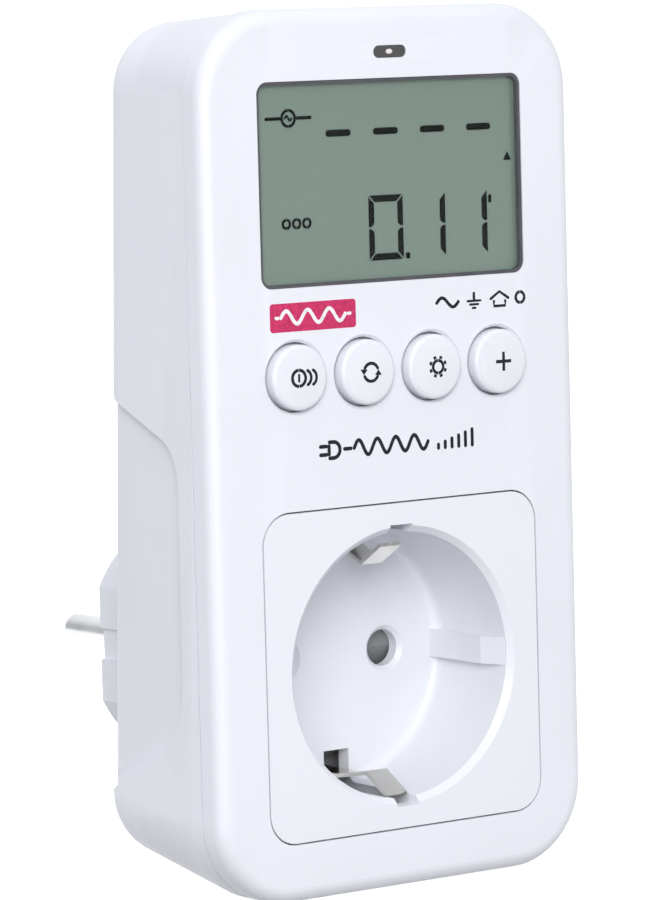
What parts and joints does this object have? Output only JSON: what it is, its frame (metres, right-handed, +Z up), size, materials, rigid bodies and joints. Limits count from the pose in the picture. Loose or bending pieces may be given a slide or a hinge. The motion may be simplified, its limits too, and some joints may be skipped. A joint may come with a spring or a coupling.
{
  "type": "plug-in power meter",
  "caption": "White housing with a display, a row of push buttons and a shuttered earthed socket in front, and an earthed mains plug standing out of its back.",
  "frame": {"origin": "middle of the bounding box's base, level with the lowest edge of the front cover", "axes": "+X to the right seen from the front, +Y from the front face back along the plug pins, +Z up; the front face looks along -Y"},
  "size_m": [0.0666, 0.0746, 0.128],
  "materials": {
    "white_housing": "fine satin ABS",
    "white_socket": "smooth semi-gloss",
    "white_button": "smooth semi-gloss",
    "clear_window": "clear polished plastic",
    "dark_gasket": "matt",
    "lcd_glass": "polished reflective display",
    "inner_plastic": "as moulded",
    "conductive_rubber": "matt",
    "smoked_lens": "polished",
    "led_epoxy": "clear epoxy",
    "silicone": "translucent",
    "circuit_board": "solder mask",
    "black_epoxy": "matt",
    "nickel": "bright nickel plate",
    "brass_contact": "stamped",
    "spring_steel": "stamped",
    "copper_bar": "stamped copper",
    "shunt_alloy": "rolled",
    "yellow_case": "moulded",
    "capacitor_sleeve": "shrunk sleeve",
    "varistor_coat": "dipped",
    "resistor_coat": "dipped",
    "battery_sleeve": "shrunk sleeve",
    "wire_insulation": "extruded",
    "zinc_screw": "zinc plate"
  },
  "bodies": {
    "housing": {"front_cover": "white_housing", "rear_case": "white_housing", "socket_insert": "white_socket", "plug_base": "white_socket", "lcd_window": "clear_window", "lcd_gasket": "dark_gasket", "lcd_panel": "lcd_glass", "lcd_frame": "inner_plastic", "zebra_strip": "conductive_rubber", "indicator_lens": "smoked_lens", "indicator_led": "led_epoxy", "keypad_mat": "silicone", "display_board": "circuit_board", "controller_chip": "black_epoxy", "crystal": "nickel", "board_link_housing": "black_epoxy", "board_link_pins": "brass_contact", "main_board": "circuit_board", "metering_chip": "black_epoxy", "shunt_resistor": "shunt_alloy", "film_capacitor": "yellow_case", "electrolytic_capacitor": "capacitor_sleeve", "varistor": "varistor_coat", "fusible_resistor": "resistor_coat", "bridge_rectifier": "black_epoxy", "voltage_regulator": "black_epoxy", "backup_battery": "battery_sleeve", "shutter_spring": "spring_steel", "contact_carrier": "inner_plastic", "line_contact": "brass_contact", "neutral_contact": "brass_contact", "socket_earth_bracket": "spring_steel", "earth_post": "brass_contact", "plug_earth_strap": "spring_steel", "plug_pin_left": "nickel", "plug_pin_right": "nickel", "line_feed_bar": "copper_bar", "line_load_bar": "copper_bar", "neutral_bar": "copper_bar", "neutral_wire": "wire_insulation", "case_screws": "zinc_screw", "display_board_screws": "zinc_screw", "main_board_screws": "zinc_screw", "plug_base_screws": "zinc_screw", "carrier_screws": "zinc_screw"},
    "cost_key": {"cost_button": "white_button", "cost_pill": "conductive_rubber"},
    "mode_key": {"mode_button": "white_button", "mode_pill": "conductive_rubber"},
    "set_key": {"set_button": "white_button", "set_pill": "conductive_rubber"},
    "plus_key": {"plus_button": "white_button", "plus_pill": "conductive_rubber"},
    "shutter": {"shutter": "inner_plastic"}
  },
  "joints": [
    {"name": "cost_press", "type": "slide", "parent": "housing", "child": "cost_key", "axis": [0, 1, 0], "range_m": [0, 0.001], "stiffness_N_per_m": 1400, "springref_m": -0.0006, "deforming": ["keypad_mat"]},
    {"name": "mode_press", "type": "slide", "parent": "housing", "child": "mode_key", "axis": [0, 1, 0], "range_m": [0, 0.001], "stiffness_N_per_m": 1400, "springref_m": -0.0006, "deforming": ["keypad_mat"]},
    {"name": "set_press", "type": "slide", "parent": "housing", "child": "set_key", "axis": [0, 1, 0], "range_m": [0, 0.001], "stiffness_N_per_m": 1400, "springref_m": -0.0006, "deforming": ["keypad_mat"]},
    {"name": "plus_press", "type": "slide", "parent": "housing", "child": "plus_key", "axis": [0, 1, 0], "range_m": [0, 0.001], "stiffness_N_per_m": 1400, "springref_m": -0.0006, "deforming": ["keypad_mat"]},
    {"name": "shutter_turn", "type": "hinge", "parent": "housing", "child": "shutter", "pos_m": [0, -0.01475, 0.0325], "axis": [0, 1, 0], "range_deg": [0, 38], "stiffness_Nm_per_rad": 0.004, "springref_deg": -20.05, "deforming": ["shutter_spring"]}
  ]
}
